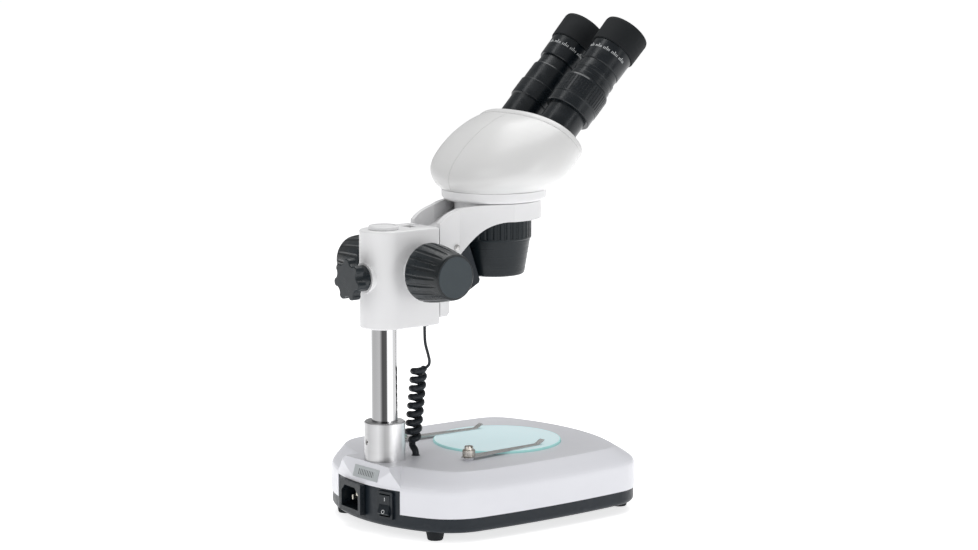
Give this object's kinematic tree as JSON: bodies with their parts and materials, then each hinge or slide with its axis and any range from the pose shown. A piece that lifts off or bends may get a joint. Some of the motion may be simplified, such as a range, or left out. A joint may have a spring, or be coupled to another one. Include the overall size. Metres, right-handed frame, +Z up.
{
  "type": "stereo microscope",
  "caption": "Binocular stereo microscope on a pole stand: inclined eyepieces on a swivelling head, coarse focus block, lit base with glass stage plate and spring clips",
  "frame": {"origin": "centre of the instrument's bounding box in plan (cord left out), on the table plane under the rubber feet", "axes": "+Z up along the pillar, -Y towards the user who looks into the eyepieces, +X to the user's right"},
  "size_m": [0.1743, 0.2666, 0.3814],
  "materials": {
    "base_cover": "satin white",
    "base_tray": "matt black",
    "rubber_feet": "matt black",
    "foot_screws": "plain",
    "inlet_body": "matt black",
    "inlet_pins": "plain",
    "switch_frame": "matt black",
    "rating_label": "silver grey",
    "pillar": "polished",
    "pillar_cap": "white",
    "pillar_bolt": "plain",
    "pillar_sleeve": "satin anodised",
    "sleeve_set_screw": "plain",
    "stage_plate": "frosted, green edged",
    "lamp_board": "laminate",
    "supply_board": "laminate",
    "base_cord_bush": "matt black",
    "cord_coil": "black jacket",
    "cord_tail": "black jacket",
    "switch_rocker": "satin black",
    "stage_clip_left": "plain",
    "stage_clip_right": "plain",
    "clip_screw_left": "nickel plated",
    "clip_screw_right": "nickel plated",
    "pillar_bush": "matt black",
    "focus_block": "fine satin white paint",
    "block_cord_bush": "matt black",
    "cord_lead": "black jacket",
    "clamp_knob": "satin black",
    "clamp_stud": "plain",
    "focus_shaft": "plain",
    "focus_pinion": "plain",
    "focus_knob_left": "satin black",
    "focus_knob_right": "satin black",
    "knob_caps": "slate grey",
    "arm": "fine satin white paint",
    "dovetail_slide": "satin anodised",
    "focus_rack": "plain",
    "lamp_housing": "matt black",
    "lamp_lens": "coated",
    "arm_screws": "plain",
    "head_ring": "fine satin white paint",
    "head_shell_left": "satin white",
    "head_shell_right": "satin white",
    "head_bezel": "satin white",
    "turret_ring": "black anodised",
    "turret_body": "black anodised",
    "objective_lenses": "coated",
    "eye_tube_left": "black anodised",
    "prism_left": "coated",
    "eye_tube_right": "black anodised",
    "prism_right": "coated",
    "dioptre_sleeve": "black anodised",
    "dioptre_ring": "black anodised",
    "eyepiece_left": "black anodised",
    "eyepiece_lenses_left": "coated",
    "eyecup_left": "matt black",
    "eyepiece_right": "black anodised",
    "eyepiece_lenses_right": "coated",
    "eyecup_right": "matt black"
  },
  "bodies": {
    "base": {"base_cover": "base_cover", "base_tray": "base_tray", "rubber_feet": "rubber_feet", "foot_screws": "foot_screws", "inlet_body": "inlet_body", "inlet_pins": "inlet_pins", "switch_frame": "switch_frame", "rating_label": "rating_label", "pillar": "pillar", "pillar_cap": "pillar_cap", "pillar_bolt": "pillar_bolt", "pillar_sleeve": "pillar_sleeve", "sleeve_set_screw": "sleeve_set_screw", "stage_plate": "stage_plate", "lamp_board": "lamp_board", "supply_board": "supply_board", "base_cord_bush": "base_cord_bush", "cord_coil": "cord_coil", "cord_tail": "cord_tail"},
    "rocker": {"switch_rocker": "switch_rocker"},
    "clip_left": {"stage_clip_left": "stage_clip_left"},
    "clip_right": {"stage_clip_right": "stage_clip_right"},
    "thumbscrew_left": {"clip_screw_left": "clip_screw_left"},
    "thumbscrew_right": {"clip_screw_right": "clip_screw_right"},
    "bush": {"pillar_bush": "pillar_bush"},
    "block": {"focus_block": "focus_block", "block_cord_bush": "block_cord_bush", "cord_lead": "cord_lead"},
    "clamp": {"clamp_knob": "clamp_knob", "clamp_stud": "clamp_stud"},
    "focus": {"focus_shaft": "focus_shaft", "focus_pinion": "focus_pinion", "focus_knob_left": "focus_knob_left", "focus_knob_right": "focus_knob_right", "knob_caps": "knob_caps"},
    "arm": {"arm": "arm", "dovetail_slide": "dovetail_slide", "focus_rack": "focus_rack", "lamp_housing": "lamp_housing", "lamp_lens": "lamp_lens", "arm_screws": "arm_screws"},
    "head": {"head_ring": "head_ring", "head_shell_left": "head_shell_left", "head_shell_right": "head_shell_right", "head_bezel": "head_bezel"},
    "turret": {"turret_ring": "turret_ring", "turret_body": "turret_body", "objective_lenses": "objective_lenses"},
    "tube_left": {"eye_tube_left": "eye_tube_left", "prism_left": "prism_left"},
    "tube_right": {"eye_tube_right": "eye_tube_right", "prism_right": "prism_right"},
    "dioptre": {"dioptre_sleeve": "dioptre_sleeve"},
    "dioptre_collar": {"dioptre_ring": "dioptre_ring"},
    "ocular_left": {"eyepiece_left": "eyepiece_left", "eyepiece_lenses_left": "eyepiece_lenses_left", "eyecup_left": "eyecup_left"},
    "ocular_right": {"eyepiece_right": "eyepiece_right", "eyepiece_lenses_right": "eyepiece_lenses_right", "eyecup_right": "eyecup_right"}
  },
  "joints": [
    {"name": "block_height", "type": "slide", "parent": "base", "child": "bush", "axis": [0, 0, 1], "range_m": [-0.045, 0], "deforming": ["cord_coil", "cord_tail"]},
    {"name": "block_swivel", "type": "hinge", "parent": "bush", "child": "block", "pos_m": [0, 0.09834, 0.19], "axis": [0, 0, 1], "range_deg": [-25, 25]},
    {"name": "clamp_turn", "type": "hinge", "parent": "block", "child": "clamp", "pos_m": [0, 0.12334, 0.1935], "axis": [0, 1, 0], "continuous": true},
    {"name": "focus_slide", "type": "slide", "parent": "block", "child": "arm", "axis": [0, 0, 1], "range_m": [-0.03, 0.012]},
    {"name": "focus_turn", "type": "hinge", "parent": "block", "child": "focus", "pos_m": [0, 0.07964, 0.1981], "axis": [1, 0, 0], "range_deg": [-142, 352]},
    {"name": "head_swivel", "type": "hinge", "parent": "arm", "child": "head", "pos_m": [0, -0.00736, 0.24], "axis": [0, 0, 1], "continuous": true},
    {"name": "turret_turn", "type": "hinge", "parent": "head", "child": "turret", "pos_m": [0, -0.00736, 0.21], "axis": [0, 0, 1], "continuous": true},
    {"name": "tube_left_spacing", "type": "slide", "parent": "head", "child": "tube_left", "axis": [-1, 0, 0], "range_m": [0, 0.0085]},
    {"name": "tube_right_spacing", "type": "slide", "parent": "head", "child": "tube_right", "axis": [1, 0, 0], "range_m": [0, 0.0085]},
    {"name": "dioptre_slide", "type": "slide", "parent": "tube_left", "child": "dioptre", "axis": [0, -0.7071, 0.7071], "range_m": [-0.0025, 0.005]},
    {"name": "dioptre_turn", "type": "hinge", "parent": "dioptre", "child": "dioptre_collar", "pos_m": [-0.025, -0.07021, 0.31825], "axis": [0, -0.7071, 0.7071], "range_deg": [-113, 226]},
    {"name": "ocular_left_out", "type": "slide", "parent": "dioptre", "child": "ocular_left", "axis": [0, -0.7071, 0.7071], "range_m": [0, 0.03]},
    {"name": "ocular_right_out", "type": "slide", "parent": "tube_right", "child": "ocular_right", "axis": [0, -0.7071, 0.7071], "range_m": [0, 0.03]},
    {"name": "rocker_tilt", "type": "hinge", "parent": "base", "child": "rocker", "pos_m": [-0.02606, 0.11498, 0.024], "axis": [0.979, 0.2038, 0], "range_deg": [-20, 0]},
    {"name": "clip_left_swing", "type": "hinge", "parent": "base", "child": "clip_left", "pos_m": [-0.043, 0.05084, 0.0549], "axis": [0, 0, 1], "range_deg": [-120, 20]},
    {"name": "clip_right_swing", "type": "hinge", "parent": "base", "child": "clip_right", "pos_m": [0.043, 0.05084, 0.0549], "axis": [0, 0, 1], "range_deg": [-20, 120]},
    {"name": "thumbscrew_left_turn", "type": "hinge", "parent": "base", "child": "thumbscrew_left", "pos_m": [-0.043, 0.05084, 0.058], "axis": [0, 0, 1], "continuous": true},
    {"name": "thumbscrew_right_turn", "type": "hinge", "parent": "base", "child": "thumbscrew_right", "pos_m": [0.043, 0.05084, 0.058], "axis": [0, 0, 1], "continuous": true}
  ],
  "couplings": [
    {"joint": "focus_turn", "follows": "focus_slide", "rad_per_m": -204.08},
    {"joint": "tube_right_spacing", "follows": "tube_left_spacing", "ratio": 1},
    {"joint": "dioptre_turn", "follows": "dioptre_slide", "rad_per_m": 785.4}
  ]
}
